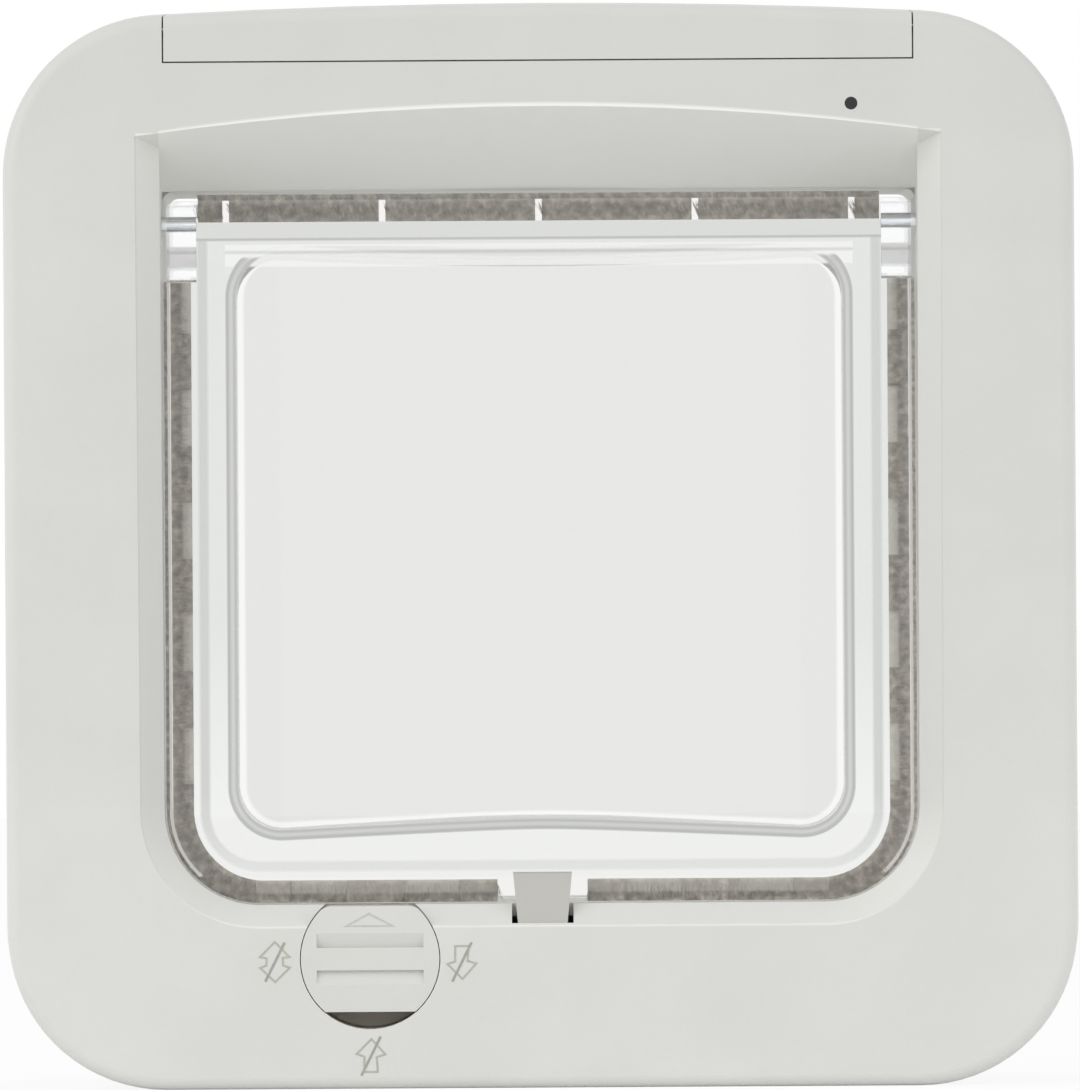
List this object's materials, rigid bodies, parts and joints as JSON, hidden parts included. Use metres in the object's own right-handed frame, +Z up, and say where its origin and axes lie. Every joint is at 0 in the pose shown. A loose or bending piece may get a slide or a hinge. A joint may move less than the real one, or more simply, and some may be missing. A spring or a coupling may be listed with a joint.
{
  "type": "cat flap",
  "caption": "Clear swinging cat flap in a square white housing with chip reader, rotary lock and electric latch, joined through the door to an outer frame.",
  "frame": {"origin": "centre of the flap's opening, in the plane where the room-side housing meets the door", "axes": "+X to the right as seen from the room, +Y into the door and outdoors, +Z up"},
  "size_m": [0.21, 0.1159, 0.212],
  "materials": {
    "housing": "satin, fine spark-eroded texture",
    "cover": "satin, fine spark-eroded texture",
    "knob": "satin",
    "latch": "satin",
    "clear": "clear, polished",
    "pile": "brushed pile",
    "steel": "bright",
    "bush": "smooth",
    "copper": "lacquered wire",
    "board": "solder mask",
    "components": "moulded",
    "cell": "sleeved",
    "led": "dark lens"
  },
  "bodies": {
    "frame": {"inner_frame": "housing", "back_plate": "housing", "back_plate_screws": "steel", "tunnel": "housing", "antenna_coil": "copper", "outer_frame": "housing", "frame_screws": "steel", "screw_caps": "housing", "hinge_bush_left": "bush", "hinge_bush_right": "bush", "detent_spring": "steel", "latch_motor": "steel", "battery_tray": "housing", "battery_1": "cell", "battery_2": "cell", "battery_3": "cell", "battery_4": "cell", "battery_contacts": "steel", "battery_springs": "steel", "circuit_board": "board", "board_components": "components", "status_led": "led"},
    "flap": {"flap_panel": "clear", "pile_strip_top": "pile", "pile_strip_left": "pile", "pile_strip_right": "pile", "hinge_pin_left": "steel", "hinge_pin_right": "steel"},
    "lock_knob": {"lock_knob": "knob", "knob_clip": "steel"},
    "latch": {"latch": "latch"},
    "motor_pinion": {"motor_pinion": "bush"},
    "battery_cover": {"battery_cover": "cover"},
    "learn_button": {"learn_button": "knob"}
  },
  "joints": [
    {"name": "flap_swing", "type": "hinge", "parent": "frame", "child": "flap", "pos_m": [0, -0.014, 0.0632], "axis": [1, 0, 0], "range_deg": [0, 75]},
    {"name": "knob_turn", "type": "hinge", "parent": "frame", "child": "lock_knob", "pos_m": [-0.03367, -0.02, -0.0802], "axis": [0, 1, 0], "continuous": true, "deforming": ["detent_spring"]},
    {"name": "latch_slide", "type": "slide", "parent": "frame", "child": "latch", "axis": [0, 0, 1], "range_m": [-0.0065, 0]},
    {"name": "pinion_spin", "type": "hinge", "parent": "frame", "child": "motor_pinion", "pos_m": [0.0085, -0.019, -0.084], "axis": [0, 1, 0], "range_deg": [-83, 0]},
    {"name": "cover_lift", "type": "slide", "parent": "frame", "child": "battery_cover", "axis": [0, 0, 1], "range_m": [0, 0.03]},
    {"name": "learn_press", "type": "slide", "parent": "frame", "child": "learn_button", "axis": [0, 0, 1], "range_m": [-0.0006, 0], "stiffness_N_per_m": 500}
  ],
  "couplings": [
    {"joint": "pinion_spin", "follows": "latch_slide", "rad_per_m": 222.22}
  ]
}
